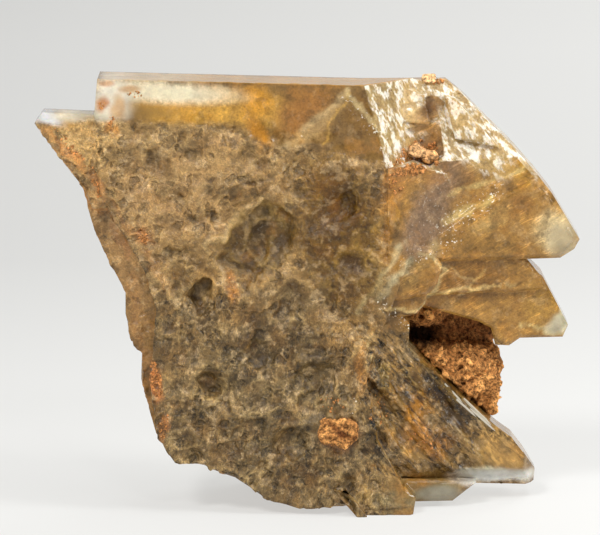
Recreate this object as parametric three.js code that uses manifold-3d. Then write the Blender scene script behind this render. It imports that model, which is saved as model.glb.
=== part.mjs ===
// A hand-size gorgeyite specimen: thick tabular crystals grown together side by side, fanned out in
// points to the right, with brown clay packed in the cleft between the lower points.
// Millimetres. X runs to the viewer's right, Y away from the viewer, Z up. The crystals' broad faces
// look along Y. The origin is on the surface that the specimen stands on, under its middle.
import * as THREE from "three";
import { mergeVertices } from "three/addons/utils/BufferGeometryUtils.js";
import Module from "manifold-3d";

const wasm = await Module();
wasm.setup();

// Driving dimensions of the specimen
const TOP = 40.0; // height of the flat top at the right
const TOP_RISE = 0.6; // how much higher the top is at its left end
const FACE = -7.2; // Y of the main crystal's broad front face
const MAIN_BACK = -1.6; // Y of its back, so that the top is 5.6 mm wide
const REAR_FACE = 7.7; // Y of the broad face at the back
const GRID = 1.0; // spacing of the points that carry the etched relief
const CLAY_GAP = 0.35; // clearance between the clay and the crystals
const FAR = 120; // longer than anything on the specimen

// Gives a geometry one shared point at each corner
function shared(geometry) {
  const bare = geometry.index ? geometry.toNonIndexed() : geometry.clone();
  bare.deleteAttribute("normal");
  bare.deleteAttribute("uv");
  return mergeVertices(bare, 1e-4);
}

// A closed geometry as a solid, and back
function solid(geometry) {
  const merged = shared(geometry);
  const mesh = new wasm.Mesh({
    numProp: 3,
    vertProperties: new Float32Array(merged.attributes.position.array),
    triVerts: new Uint32Array(merged.index.array),
  });
  return new wasm.Manifold(mesh);
}

function geometryOf(body) {
  const { vertProperties, triVerts, numProp } = body.getMesh();
  const count = vertProperties.length / numProp;
  const points = new Float32Array(count * 3);
  for (let i = 0; i < count; i++) {
    points.set(vertProperties.subarray(i * numProp, i * numProp + 3), i * 3);
  }
  const geometry = new THREE.BufferGeometry();
  geometry.setAttribute("position", new THREE.BufferAttribute(points, 3));
  geometry.setIndex(new THREE.BufferAttribute(new Uint32Array(triVerts), 1));
  geometry.computeVertexNormals();
  return geometry;
}

function join(bodies) {
  return bodies.reduce((whole, body) => whole.add(body));
}

// The largest of the separate pieces that a cut leaves
function largestPiece(geometry) {
  const corners = geometry.index.array;
  const link = Array.from({ length: geometry.attributes.position.count }, (_, i) => i);
  const pieceOf = (i) => {
    let end = i;
    while (link[end] !== end) end = link[end];
    link[i] = end;
    return end;
  };
  for (let i = 0; i < corners.length; i += 3) {
    link[pieceOf(corners[i])] = pieceOf(corners[i + 1]);
    link[pieceOf(corners[i + 1])] = pieceOf(corners[i + 2]);
  }
  const counts = new Map();
  corners.forEach((i) => counts.set(pieceOf(i), (counts.get(pieceOf(i)) ?? 0) + 1));
  const [[largest]] = [...counts].sort((one, other) => other[1] - one[1]);
  geometry.setIndex([...corners].filter((i) => pieceOf(i) === largest));
  return shared(geometry);
}

// Moves each point of a geometry: shift(x, y, z) gives what is added to it
function moved(geometry, shift) {
  const position = geometry.attributes.position;
  for (let i = 0; i < position.count; i++) {
    const [x, y, z] = [position.getX(i), position.getY(i), position.getZ(i)];
    const [dx, dy, dz] = shift(x, y, z);
    position.setXYZ(i, x + dx, y + dy, z + dz);
  }
  return geometry;
}

// One tabular crystal: an outline in X and Z between two broad faces. lean is how far its faces fall
// back for each millimetre to the right of leanFrom, and chamfer is the narrow bevel on its edges.
function blade({ outline, front, back, lean = 0, leanFrom = 0, chamfer = 0 }) {
  const shape = new THREE.Shape(outline.map(([x, z]) => new THREE.Vector2(x, z)));
  const geometry = new THREE.ExtrudeGeometry(shape, {
    depth: back - front - 2 * chamfer,
    bevelEnabled: chamfer > 0,
    bevelSegments: 1,
    bevelSize: chamfer,
    bevelOffset: -chamfer,
    bevelThickness: chamfer,
  });
  geometry.rotateX(Math.PI / 2);
  geometry.translate(0, back - chamfer, 0);
  return solid(moved(geometry, (x) => [0, lean * (x - leanFrom), 0]));
}

// Cuts off what lies beyond a plane, as a crystal's flat end face does
function faceted(body, point, normal) {
  const outward = new THREE.Vector3(...normal).normalize();
  const geometry = new THREE.BoxGeometry(FAR, FAR, FAR).translate(0, 0, FAR / 2);
  const turn = new THREE.Quaternion().setFromUnitVectors(new THREE.Vector3(0, 0, 1), outward);
  geometry.applyQuaternion(turn);
  geometry.translate(...point);
  return body.subtract(solid(geometry));
}

// Repeatable scatter: a number from 0 to 1 for each whole-number place
function scatter(i, j, seed) {
  const value = Math.sin(i * 127.1 + j * 311.7 + seed * 74.7) * 43758.5453;
  return value - Math.floor(value);
}

function smooth(low, high, value) {
  const t = Math.min(1, Math.max(0, (value - low) / (high - low)));
  return t * t * (3 - 2 * t);
}

// Etching leaves shallow bowls that meet in narrow ridges. The depth is 0 on a ridge and up to 1 in
// the middle of a bowl, for bowls that are about size across.
function bowls(x, z, size, seed) {
  const [column, row] = [Math.floor(x / size), Math.floor(z / size)];
  let [nearest, second, strength] = [FAR, FAR, 0];
  for (let i = column - 1; i <= column + 1; i++) {
    for (let j = row - 1; j <= row + 1; j++) {
      const centreX = (i + scatter(i, j, seed)) * size;
      const centreZ = (j + scatter(i, j, seed + 1)) * size;
      const distance = Math.hypot(x - centreX, z - centreZ);
      if (distance < nearest) {
        [second, nearest, strength] = [nearest, distance, scatter(i, j, seed + 2)];
      } else if (distance < second) {
        second = distance;
      }
    }
  }
  return smooth(0, 0.6, (second - nearest) / size) * (0.3 + 0.7 * strength);
}

function hollow(x, z, [centreX, centreZ, halfWidth, halfHeight, depth]) {
  const distance = Math.hypot((x - centreX) / halfWidth, (z - centreZ) / halfHeight);
  return depth * smooth(1, 0.55, distance);
}

// Single deep hollows in the etched front: X, Z, half width, half height and depth
const FRONT_HOLLOWS = [
  [-5.0, 26.8, 4.2, 3.2, 1.0],
  [-9.6, 20.9, 1.3, 2.0, 0.9],
  [-4.4, 15.2, 1.4, 2.0, 0.9],
  [0.9, 12.9, 2.6, 1.8, 1.1],
  [2.0, 29.5, 2.2, 3.2, 0.6],
  [-12.6, 29.8, 1.8, 1.3, 0.6],
  [-0.2, 33.0, 2.4, 0.9, 0.7],
  [-8.6, 12.2, 1.8, 1.5, 0.7],
  [-2.0, 6.6, 2.2, 1.5, 0.7],
];
const REAR_HOLLOWS = [
  [-3.0, 18.0, 3.4, 2.4, 0.9],
  [3.4, 9.5, 2.2, 2.8, 0.8],
  [-6.5, 9.0, 1.8, 1.6, 0.7],
  [1.5, 23.0, 2.0, 1.4, 0.6],
];

// How far the etched front stands in front of FACE. The clear band along the top stays flat.
function frontRelief(x, z) {
  const flatAbove = 36.4 - 1.7 * smooth(-6, -2, x) - 1.8 * smooth(1, 5, x);
  const etched = smooth(flatAbove + 0.8, flatAbove - 0.8, z);
  const swell = 0.6 * smooth(-17, -6, x) * smooth(1, 10, z);
  const etching = 0.75 * bowls(x, z, 4.4, 3) + 0.35 * bowls(x, z, 2.3, 8);
  const deep = FRONT_HOLLOWS.reduce((sum, place) => sum + hollow(x, z, place), 0);
  return etched * (swell - etching * (1 - 0.5 * smooth(1, 7, x)) - deep);
}

function rearRelief(x, z) {
  const etching = 0.9 * bowls(x, z, 4.8, 21) + 0.35 * bowls(x, z, 2.4, 33);
  return -etching - REAR_HOLLOWS.reduce((sum, place) => sum + hollow(x, z, place), 0);
}

// A crystal with one etched broad face. side is -1 for a relief on the front and 1 on the back.
function etchedBlade(options, relief, side) {
  const { outline, front, back, lean = 0, leanFrom = 0 } = options;
  const xs = outline.map(([x]) => x);
  const zs = outline.map(([, z]) => z);
  const [left, right] = [Math.min(...xs) - GRID, Math.max(...xs) + GRID];
  const [low, high] = [Math.min(...zs) - GRID, Math.max(...zs) + GRID];
  const [columns, rows] = [Math.round((right - left) / GRID), Math.round((high - low) / GRID)];
  const depth = back - front;
  const slab = new THREE.BoxGeometry(right - left, depth, high - low, columns, 1, rows);
  slab.translate((left + right) / 2, (front + back) / 2, (low + high) / 2);
  const face = side < 0 ? front : back;
  moved(slab, (x, y, z) => {
    const fall = lean * (x - leanFrom);
    return [0, fall + (Math.abs(y - face) < 0.01 ? side * relief(x, z) : 0), 0];
  });
  const outside = { outline, front: front - 3, back: back + 3, lean, leanFrom };
  return solid(slab).intersect(blade(outside));
}

// The main crystal: flat top, etched front, ragged left side, and a sloping face down its right side
function mainCrystal() {
  const options = {
    front: FACE,
    back: MAIN_BACK,
    outline: [
      [-19.2, TOP + TOP_RISE], [4.8, TOP], [9.6, TOP], [10.4, 32.7], [9.6, 25.4], [7.8, 20.2],
      [6.2, 16.5], [5.2, 12.8], [6.4, 7.1], [8.4, 3.4], [9.4, 0.8], [4.9, 0.5], [3.2, 0.7],
      [-0.8, 0.6], [-4.0, 1.5],
      [-6.8, 3.5], [-9.7, 4.5], [-12.3, 5.0], [-13.9, 7.2], [-14.3, 10.0], [-14.6, 12.8],
      [-14.2, 15.4], [-14.0, 19.3], [-14.9, 22.6], [-16.9, 26.3], [-18.9, 29.5], [-19.3, 33.0],
      [-19.5, 37.4],
    ],
  };
  const etched = etchedBlade(options, frontRelief, -1);
  const shouldered = faceted(etched, [5.0, FACE, TOP], [0.75, -0.65, 0.21]);
  return faceted(shouldered, [-19.4, FACE, 38], [-0.8, -0.6, 0]);
}

// The crystals that show from the front, each a flat-faced blade
const FRONT_BLADES = {
  leftWing: {
    front: -6.6, back: -2.8, chamfer: 0.5,
    outline: [[-24.3, 37.4], [-12, 36.9], [-12, 28.5], [-19.7, 28.7], [-21.0, 31.0], [-25, 36.4]],
  },
  leftSide: {
    front: -4.9, back: 0.8,
    outline: [
      [-20.7, 30.4], [-19.5, 25.8], [-18.2, 23.0], [-16.9, 20.5], [-16.9, 18.4], [-16.2, 15.5],
      [-15.4, 14.9], [-15.5, 12.3], [-14.8, 9.9], [-14.1, 7.3], [-12.3, 4.9], [-6.8, 3.6], [-6.3, 30],
    ],
  },
  slopingFace: {
    front: -7.2, back: -3, lean: 0.45, leanFrom: 8.2,
    outline: [[7.2, 32.4], [9.6, 32.8], [12.6, 31.6], [13.4, 28.6], [12.8, 25], [10, 23.6], [7.2, 24]],
  },
  middlePoint: {
    front: -3.8, back: 1.4, lean: 0.13, leanFrom: 11, chamfer: 0.3,
    outline: [
      [8.5, 24.4], [19.3, 23.9], [21.7, 21.5], [22.8, 19.4], [24.1, 16.9], [23.6, 15.8], [19.6, 15.8],
      [18.6, 15.1], [17.3, 15.2], [16.9, 16.8], [15.8, 17.4], [12.6, 18.4], [8.5, 19.4],
    ],
  },
  middleLedge: {
    front: -4.7, back: -2, lean: 0.13, leanFrom: 11, chamfer: 0.3,
    outline: [[8.5, 24.6], [19.9, 23.7], [21.4, 21.8], [22.0, 20.5], [17.7, 20.3], [8.5, 20.1]],
  },
  upperLobe: {
    front: -6.9, back: -3, lean: 0.1, leanFrom: 9, chamfer: 0.35,
    outline: [
      [5.6, 25.4], [9, 25.4], [11.3, 24.8], [12.2, 23.3], [11.8, 21.6], [10.7, 20.5], [8.2, 20.1],
      [5.6, 20.0],
    ],
  },
  lowerLobe: {
    front: -5.9, back: -2.4, lean: 0.1, leanFrom: 9, chamfer: 0.25,
    outline: [[5.4, 21], [10.9, 20.6], [10.7, 19.6], [9.9, 18.6], [8.4, 18.4], [5.4, 18.6]],
  },
  footLedge: {
    front: -4.3, back: -0.8, lean: 0.1, leanFrom: 10, chamfer: 0.3,
    outline: [[5, 3.0], [12.4, 2.6], [15.6, 2.3], [14.7, 1.6], [13.4, 0.6], [5, 0.6]],
  },
  footPlate: {
    front: -7.0, back: -3, chamfer: 0.3,
    outline: [[3, 2.6], [8.9, 2.6], [9.9, 1.5], [9.6, -0.4], [4.6, -0.4]],
  },
  footSliver: {
    front: -7.9, back: -6.2, chamfer: 0.15,
    outline: [[2.2, 2.6], [3.8, 2.2], [5.6, -0.3], [4.7, -0.3]],
  },
};

// The big upper point: a front face that leans back to the right, a broad bevel that rises to the
// top edge, and a shallow broken step across the face
function upperPoint() {
  const outline = [
    [2.8, TOP - 0.1], [12.6, TOP - 0.1], [13.8, 38.9], [15.5, 37.2], [18.6, 34.1], [20.8, 31.6],
    [22.4, 29.5], [23.6, 27.5], [25.0, 25.2], [24.5, 24.3], [23.2, 23.5], [2.8, 23.3],
  ];
  const lean = { lean: 0.13, leanFrom: 9 };
  const whole = blade({ outline, front: -5.6, back: -0.2, chamfer: 0.4, ...lean });
  const bevelled = faceted(whole, [10, -5.3, 33.0], [0.1, -0.9, 0.42]);
  const stepOutline = [
    [10.8, 25.6], [13.4, 27.2], [15.2, 28.7], [17.8, 29.5], [20.8, 31.0], [22.0, 29.3], [23.2, 27.4],
    [24.4, 25.2], [23.1, 23.8], [10.8, 23.6],
  ];
  const step = blade({ outline: stepOutline, front: -5.95, back: -3, chamfer: 0.25, ...lean });
  const recessOutline = [[8.9, 35.6], [12.0, 36.3], [12.4, 33.2], [10.2, 31.5], [8.7, 32.0]];
  const recess = blade({ outline: recessOutline, front: -9, back: -3.6 });
  const gapOutline = [[10.6, 38.2], [11.6, 38.6], [12.5, 37.8], [12.0, 36.4], [11.2, 36.0]];
  const gap = blade({ outline: gapOutline, front: -9, back: -2.6 });
  const flakes = [
    blade({ outline: [[12.4, 38.6], [13.4, 38.4], [17.4, 34.0], [13.4, 34.8]], front: -4.7, back: -2 }),
    blade({ outline: [[8.2, 39.4], [10.6, 38.6], [11.0, 36.0], [8.0, 36.4]], front: -4.9, back: -2 }),
  ];
  const slanted = flakes.map((flake) => faceted(flake, [10, -5.6, 33.0], [-0.08, -0.9, 0.36]));
  return join([bevelled, step, ...slanted]).subtract(recess).subtract(gap);
}

// The lower point: its broken front runs on from the main crystal and turns back to the right
function lowerPoint() {
  const options = {
    front: -6.4, back: -2.2, lean: 0.32, leanFrom: 4,
    outline: [
      [2.4, 17.0], [5.2, 19.8], [8.2, 19.0], [9.3, 17.6], [9.2, 15.4], [12.2, 12.4], [15.0, 9.6],
      [17.6, 7.2], [19.0, 6.1], [20.2, 4.5], [21.3, 2.6], [21.2, 1.5], [20.4, 1.2], [14.6, 1.8],
      [8.9, 3.0], [2.4, 3.2],
    ],
  };
  const relief = (x, z) => {
    const broken = smooth(16, 11, x) * smooth(2.2, 4.5, z);
    const ridges = 0.45 * Math.sin((0.85 * x + 0.53 * z) * 1.6 + 0.5 * Math.sin(0.6 * z));
    return broken * (0.4 + ridges - 0.4 * bowls(x, z, 4.2, 15));
  };
  const etched = etchedBlade(options, relief, -1);
  const bottomBevel = faceted(etched, [15, -2.6, 3.1], [0.18, -0.7, -0.7]);
  return faceted(bottomBevel, [20.2, -1.0, 3.4], [0.9, -0.5, -0.1]);
}

// The crystals behind the main one, each lower than the one in front, down to a broken foot
function rearCrystals() {
  const second = blade({
    front: -2.2, back: 2.8, chamfer: 0.5,
    outline: [
      [-16.6, 36.6], [4.4, 36.4], [9.4, 30.0], [10.6, 24.0], [9.0, 19.6], [8.6, 15.0], [8.0, 9.0],
      [9.8, 3.0], [9.4, -1], [-2.0, -1], [-8.4, 4.0], [-12.4, 7.6], [-13.6, 16], [-14.6, 24],
    ],
  });
  const third = blade({
    front: 2.0, back: 5.5, chamfer: 0.5, lean: -0.03,
    outline: [
      [-18.2, 30.6], [-13.4, 31.6], [2.8, 31.4], [9.6, 24.2], [8.4, 18.0], [9.2, 10.5], [8.0, 7],
      [10.2, -1], [-3.0, -1], [-8.6, 5.6], [-11.8, 12.8], [-13.0, 22.8],
    ],
  });
  const rear = etchedBlade(
    {
      front: 4.6, back: REAR_FACE,
      outline: [
        [-10.8, 26.6], [3.2, 27.2], [8.0, 21.4], [12.4, 17.0], [15.6, 12.6], [14.2, 10.8], [9.4, 10.2],
        [7.4, 7.0], [9.0, 3.2], [8.2, -1], [-3.8, -1], [-7.0, 5.2], [-10.2, 9.0], [-9.6, 15.6],
        [-11.9, 21.2],
      ],
    },
    rearRelief,
    1,
  );
  const crossing = blade({
    front: 3.0, back: 6.2, lean: 0.3, leanFrom: -8, chamfer: 0.4,
    outline: [[-15.8, 14.0], [-13.2, 16.4], [-3, 16.6], [-2, 8], [-9.6, 8.2], [-14.4, 11.6]],
  });
  const scale = blade({
    front: 6.4, back: 8.3, lean: -0.06, leanFrom: 2, chamfer: 0.35,
    outline: [[-7.6, 13.0], [-5.8, 15.4], [2.6, 15.8], [7.6, 10.8], [6.6, 9.2], [-4.2, 8.6]],
  });
  return [second, third, rear, crossing, scale];
}

function crystalGroup() {
  const group = join([
    mainCrystal(),
    ...Object.values(FRONT_BLADES).map(blade),
    upperPoint(),
    lowerPoint(),
    ...rearCrystals(),
  ]);
  return faceted(group, [0, 0, 0], [0, 0, -1]);
}

// A rough clod of clay: centre, half sizes along X, Y and Z, and how finely it is divided. The clod
// is a rounded block, so that its sides stay steep.
function clod([x, y, z], [halfX, halfY, halfZ], seed, fineness) {
  const ball = shared(new THREE.IcosahedronGeometry(1, fineness));
  moved(ball, (a, b, c) => {
    const blocky = Math.pow(a ** 4 + b ** 4 + c ** 4, -0.25);
    const reach = blocky * (1 + 0.22 * (bowls(a * 2 + b, c * 2 - b, 1.1, seed) - 0.5)) - 1;
    return [a * reach, b * reach, c * reach];
  });
  ball.scale(halfX, halfY, halfZ);
  ball.translate(x, y, z);
  return solid(ball);
}

// Takes the crystals out of a piece of clay, with the clearance on every side
function besideCrystals(clay, crystals) {
  const steps = [[0, 0, 0]];
  for (const step of [-CLAY_GAP, CLAY_GAP]) {
    steps.push([step, 0, 0], [0, step, 0], [0, 0, step]);
  }
  const near = (step) => solid(geometryOf(crystals).translate(...step));
  return largestPiece(geometryOf(steps.reduce((rest, step) => rest.subtract(near(step)), clay)));
}

// The clay in the cleft on the right: a shelf that shows, and darker clods deeper under the point
const MATRIX_CLODS = [
  [[13.7, 1.6, 12.1], [4.4, 3.3, 2.7], 41],
  [[15.4, 2.4, 9.6], [2.3, 2.6, 2.5], 43],
  [[11.0, 1.2, 12.4], [2.6, 2.6, 2.0], 47],
  [[14.4, 3.4, 16.0], [3.2, 1.8, 2.1], 59],
  [[10.9, 2.0, 18.0], [2.0, 2.8, 1.6], 63],
  [[12.0, 3.8, 14.8], [3.0, 1.2, 2.6], 65],
];

// Crusts of clay stuck on the crystals
const CLAY_CRUSTS = {
  clay_patch_front: [[2.8, -7.6, 8.1], [1.9, 1.0, 1.4], 61],
  clay_patch_recess: [[10.2, -4.2, 32.9], [1.7, 1.0, 1.0], 67],
  clay_patch_top: [[11.1, -1.9, TOP - 0.2], [0.8, 0.6, 0.75], 71],
};

const CRYSTAL = new THREE.MeshStandardMaterial({ color: 0x9a7a4c, roughness: 0.35, metalness: 0 });
const CLAY = new THREE.MeshStandardMaterial({ color: 0xa86b3a, roughness: 0.95, metalness: 0 });

function named(name, geometry, material) {
  const mesh = new THREE.Mesh(geometry, material);
  mesh.name = name;
  return mesh;
}

const crystals = crystalGroup();
const matrix = join(MATRIX_CLODS.map(([centre, halves, seed]) => clod(centre, halves, seed, 3)));
const specimen = new THREE.Group();
specimen.add(named("crystal_group", geometryOf(crystals), CRYSTAL));
specimen.add(named("clay_matrix", besideCrystals(matrix, crystals), CLAY));
for (const [name, [centre, halves, seed]] of Object.entries(CLAY_CRUSTS)) {
  specimen.add(named(name, besideCrystals(clod(centre, halves, seed, 2), crystals), CLAY));
}
export default specimen;
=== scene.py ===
# A hand-size gorgeyite specimen: thick tabular crystals grown together and fanned out in points,
# with brown clay in the cleft. Metres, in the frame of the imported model: X to the viewer's right,
# Y away from the viewer, Z up. Sizes written as numbers of millimetres are turned with MM.
import math

import bmesh
import bpy
import numpy as np
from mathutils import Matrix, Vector
from mathutils.bvhtree import BVHTree


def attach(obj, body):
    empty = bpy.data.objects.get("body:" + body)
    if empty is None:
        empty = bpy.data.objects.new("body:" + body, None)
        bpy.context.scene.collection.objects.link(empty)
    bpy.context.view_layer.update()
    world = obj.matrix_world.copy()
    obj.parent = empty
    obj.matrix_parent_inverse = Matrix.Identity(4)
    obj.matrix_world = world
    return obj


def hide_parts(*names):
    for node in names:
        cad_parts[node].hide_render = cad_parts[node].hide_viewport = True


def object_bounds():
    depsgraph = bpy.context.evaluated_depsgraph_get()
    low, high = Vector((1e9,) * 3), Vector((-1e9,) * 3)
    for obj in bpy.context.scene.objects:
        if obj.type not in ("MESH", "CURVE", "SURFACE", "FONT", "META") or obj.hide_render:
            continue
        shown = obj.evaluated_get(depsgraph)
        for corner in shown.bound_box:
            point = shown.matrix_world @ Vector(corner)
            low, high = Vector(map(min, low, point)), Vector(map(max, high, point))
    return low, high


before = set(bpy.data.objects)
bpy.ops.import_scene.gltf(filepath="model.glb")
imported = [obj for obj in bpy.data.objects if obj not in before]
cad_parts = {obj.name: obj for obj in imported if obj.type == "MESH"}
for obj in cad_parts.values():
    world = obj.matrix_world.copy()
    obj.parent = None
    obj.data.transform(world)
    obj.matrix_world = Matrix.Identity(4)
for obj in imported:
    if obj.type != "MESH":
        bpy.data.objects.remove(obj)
cad_low, cad_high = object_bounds()
MM = 0.001

# The crystals: gorgeyite, a brittle yellowish potassium calcium sulphate, grown as thick tablets that
# share one body. Weather has etched the main tablet's broad face into pits and bowls, while the
# tablets' ends stay flat and glassy. They grew together, so nothing joins them.

# Edges are split until they are this long, in mm, so that the relief has points to stand on
ETCHED_STEP = 0.28
POINT_STEP = 0.42
BACK_STEP = 0.78
PLAIN_STEP = 1.0


def copy_of(node, name):
    """A new mesh object with a node's shape, its loose triangles merged."""
    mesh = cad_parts[node].data.copy()
    mesh.materials.clear()
    copy = bpy.data.objects.new(name, mesh)
    bpy.context.scene.collection.objects.link(copy)
    shape = bmesh.new()
    shape.from_mesh(mesh)
    bmesh.ops.remove_doubles(shape, verts=shape.verts, dist=0.002 * MM)
    bmesh.ops.dissolve_limit(
        shape, angle_limit=math.radians(0.6), verts=shape.verts, edges=shape.edges
    )
    bmesh.ops.triangulate(shape, faces=shape.faces)
    shape.to_mesh(mesh)
    shape.free()
    return copy


def refine(shape, step_at, rounds=11):
    """Splits each edge of a triangle mesh that is longer than step_at(middle, normal)."""
    for _ in range(rounds):
        long = []
        for edge in shape.edges:
            middle = (edge.verts[0].co + edge.verts[1].co) / 2
            normal = edge.link_faces[0].normal + edge.link_faces[-1].normal
            if edge.calc_length() > step_at(middle / MM, normal) * MM:
                long.append(edge)
        if not long:
            return
        bmesh.ops.subdivide_edges(shape, edges=long, cuts=1)
        bmesh.ops.triangulate(shape, faces=[f for f in shape.faces if len(f.verts) > 3])


def crystal_step(place, normal):
    """How long an edge of the crystals may be: short on the main tablet's face and on the lower point.
    normal is the sum of two faces' normals, so it is up to 2 long."""
    on_main_face = place.x < 10.5 and place.y < -5.0
    on_lower_point = place.z < 27 and place.x < 16
    if normal.y < -0.9:
        return ETCHED_STEP if on_main_face or on_lower_point else POINT_STEP
    return BACK_STEP if normal.y > 1.2 else PLAIN_STEP


def scatter(i, j, k, seed):
    """A number from 0 to 1 that looks random, the same each time for the same four numbers."""
    value = np.sin(i * 127.1 + j * 311.7 + k * 74.7 + seed * 53.3) * 43758.5453
    return value - np.floor(value)


def cells(places, size, seed):
    """Splits space into rounded cells of about size. Gives each place's distance from its own cell's
    middle and from the next one's, in cells, and a number that is the same all over a cell."""
    grid = places / size
    corner = np.floor(grid)
    nearest = np.full(len(grid), 9.0)
    second = np.full(len(grid), 9.0)
    own = np.zeros(len(grid))
    for step in np.ndindex(3, 3, 3):
        i, j, k = (corner + np.array(step) - 1).T
        centre = np.stack([i + scatter(i, j, k, seed), j + scatter(i, j, k, seed + 1),
                           k + scatter(i, j, k, seed + 2)], axis=1)
        distance = np.linalg.norm(grid - centre, axis=1)
        closer = distance < nearest
        second = np.where(closer, nearest, np.minimum(second, distance))
        nearest = np.where(closer, distance, nearest)
        own = np.where(closer, scatter(i, j, k, seed + 3), own)
    return nearest, second, own


def ramp(low, high, value):
    """0 at low and 1 at high, which may be the smaller one, with a soft rise between them."""
    t = np.clip((value - low) / (high - low), 0, 1)
    return t * t * (3 - 2 * t)


def clouds(places, size, seed):
    """Soft random values from -1 to 1 that change over about size."""
    grid = places / size
    corner = np.floor(grid)
    t = grid - corner
    t = t * t * (3 - 2 * t)
    total = np.zeros(len(grid))
    for step in np.ndindex(2, 2, 2):
        i, j, k = (corner + np.array(step)).T
        weight = np.prod(np.where(np.array(step) == 1, t, 1 - t), axis=1)
        total += weight * scatter(i, j, k, seed)
    return 2 * total - 1


def drift(places, size, seed):
    """Three soft random values for each place, to move it about with."""
    return np.stack([clouds(places, size, seed + k) for k in range(3)], axis=1)


def etch(places, size, seed, share):
    """Rounded hollows in that share of the cells: how deep each place is, and how far up the lip of
    a hollow it is, both from 0 to 1."""
    nearest, second, own = cells(places, size, seed)
    out = nearest / (nearest + second + 1e-6)
    here = 0.3 * ramp(1 - share, 1.03 - share, own) + 0.7 * ramp(1 - share, 1.05, own)
    return here * ramp(0.46, 0.16, out), here * ramp(0.33, 0.41, out) * ramp(0.5, 0.45, out)


def linear(hex_colour):
    """An sRGB hex colour as linear red, green and blue."""
    parts = [int(hex_colour[i:i + 2], 16) / 255 for i in (1, 3, 5)]
    return np.array([c / 12.92 if c <= 0.04045 else ((c + 0.055) / 1.055) ** 2.4 for c in parts])


def near_spot(x, z, spot, inner=0.35, outer=1.15):
    """1 in the middle of an oval spot, 0 outside: X, Z, half width, half height, turn in degrees."""
    centre_x, centre_z, half_width, half_height, turn = spot
    angle = math.radians(turn)
    along = (x - centre_x) * math.cos(angle) + (z - centre_z) * math.sin(angle)
    across = (z - centre_z) * math.cos(angle) - (x - centre_x) * math.sin(angle)
    return 1 - ramp(inner, outer, np.hypot(along / half_width, across / half_height))


def near_line(x, z, line, width):
    """1 on a line from its first to its second point in X and Z, 0 at width from it."""
    (ax, az), (bx, bz) = line
    t = ((x - ax) * (bx - ax) + (z - az) * (bz - az)) / ((bx - ax) ** 2 + (bz - az) ** 2)
    t = np.clip(t, 0, 1)
    return 1 - ramp(0.2, 1, np.hypot(x - ax - t * (bx - ax), z - az - t * (bz - az)) / width)


def read_points(mesh):
    """A mesh's points in mm and their normals, as rows."""
    place = np.empty(len(mesh.vertices) * 3)
    mesh.vertices.foreach_get("co", place)
    normal = np.empty(len(mesh.vertices) * 3)
    mesh.vertices.foreach_get("normal", normal)
    return place.reshape(-1, 3) / MM, normal.reshape(-1, 3)


def smooth_points(shape, points, rounds=1):
    """Moves points of a mesh towards the middle of their neighbours."""
    for _ in range(rounds):
        bmesh.ops.smooth_vert(shape, verts=points, factor=0.5, use_axis_x=True, use_axis_y=True,
                              use_axis_z=True)


crystals = copy_of("crystal_group", "gorgeyite_crystals")
shape = bmesh.new()
shape.from_mesh(crystals.data)
refine(shape, crystal_step)
shape.normal_update()
# The coarse relief is rounded off on the main face, on the back and low down, away from the
# crystals' own edges
SMOOTHING_ROUNDS = 9
MAIN_FACE_Y, MAIN_FACE_RIGHT = -5.4, 9.5
BACK_Y = 5.9
LOW_TOP, LOW_RIGHT = 15, 14
for _ in range(SMOOTHING_ROUNDS):
    soft = [v for v in shape.verts if all(abs(f.normal.y) > 0.45 for f in v.link_faces)
            and (v.co.y < MAIN_FACE_Y * MM and v.co.x < MAIN_FACE_RIGHT * MM or v.co.y > BACK_Y * MM
                 or v.co.z < LOW_TOP * MM and v.co.x < LOW_RIGHT * MM)]
    smooth_points(shape, soft)
shape.normal_update()
shape.to_mesh(crystals.data)
shape.free()

mesh = crystals.data
place, normal = read_points(mesh)
count = len(place)
x, y, z = place.T

# Where each finish lies, from 0 to 1 at each point of the mesh
front = ramp(0.25, 0.7, -normal[:, 1])
back = ramp(0.25, 0.7, normal[:, 1])
wander = 0.5 * clouds(place, 2.2, 1) + 0.25 * clouds(place, 0.9, 2)
on_main = front * ramp(-5.2, -6.0, y) * (1 - ramp(6.6, 8.4, x + 0.4 * wander))
# The top of the main face stays flat and clear above a line that falls to the right in two steps
flat_above = 36.7 - 2.5 * ramp(-8, -2, x) - 1.0 * ramp(2, 6, x)
crust = on_main * ramp(flat_above + 0.5, flat_above - 0.4, z + 1.2 * wander)
on_side = front * (1 - ramp(-15.5, -13.5, x)) * ramp(30.5, 29, z)
on_lower = front * ramp(3.4, 4.8, x) * ramp(17.2, 15.5, z) * ramp(0.6, 1.2, y + 7.6)
on_lower = on_lower * (1 - ramp(15.2, 17.2, x)) * ramp(2.6, 4.0, z)
behind = ramp(-1.5, 0.5, y) * ramp(0.35, 0.7, np.abs(normal[:, 1]))
etched = np.clip(crust + 0.7 * on_side + 0.9 * behind * (1 - on_main), 0, 1)

# Single hollows that stand out in the etched face: the spot and its depth in mm
HOLLOWS = [
    ((-6.5, 29.9, 1.2, 0.7, 20), 0.4),
    ((-5.2, 31.2, 0.8, 0.6, 0), 0.5),
    ((-10.7, 27.9, 0.7, 0.55, 0), 0.45),
    ((-8.5, 28.0, 0.8, 0.6, 0), 0.45),
    ((-12.8, 24.6, 0.6, 0.8, 0), 0.3),
    ((-10.0, 20.9, 1.2, 1.1, 30), 0.5),
    ((-7.3, 21.7, 0.45, 0.3, 0), 0.35),
    ((-9.0, 30.3, 0.9, 0.8, 40), 0.35),
    ((-10.4, 33.6, 0.8, 0.6, 40), 0.35),
    ((-12.9, 27.4, 1.1, 1.0, 0), 0.25),
    ((-1.0, 30.4, 0.9, 0.8, 0), 0.35),
    ((-4.4, 15.0, 1.6, 1.3, 30), 0.45),
    ((0.4, 15.6, 1.3, 1.8, -20), 0.4),
]
BIGGEST_HOLLOW, BIGGEST_DEPTH = (-4.7, 25.5, 4.6, 3.2, 42), 0.5
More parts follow.
